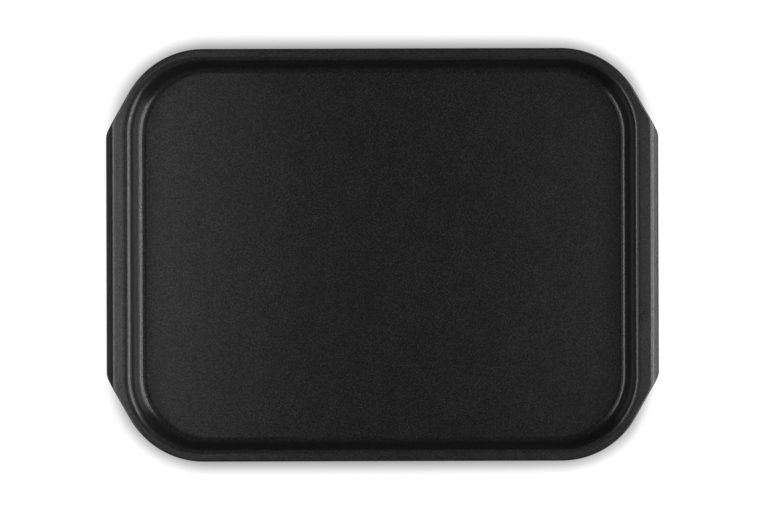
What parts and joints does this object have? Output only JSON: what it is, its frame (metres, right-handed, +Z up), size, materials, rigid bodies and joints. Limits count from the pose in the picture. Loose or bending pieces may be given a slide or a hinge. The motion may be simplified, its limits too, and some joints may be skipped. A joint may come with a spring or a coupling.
{
  "type": "roasting tray",
  "caption": "Shallow rectangular cast iron roasting tray with rounded corners, a satin black enamel coat and an ear with a turned-down lip along each short side.",
  "frame": {"origin": "on the surface that the tray stands on, under the middle of its base", "axes": "+X along the tray's length through both ears, +Y across it, +Z up out of the tray"},
  "size_m": [0.4158, 0.31, 0.0254],
  "materials": {
    "cast_iron": "as cast, fully covered",
    "inside_enamel": "satin",
    "outside_enamel": "satin",
    "base_enamel": "matte"
  },
  "bodies": {
    "root": {"iron_casting": "cast_iron", "inside_enamel": "inside_enamel", "outside_enamel": "outside_enamel", "base_enamel": "base_enamel"}
  },
  "joints": []
}
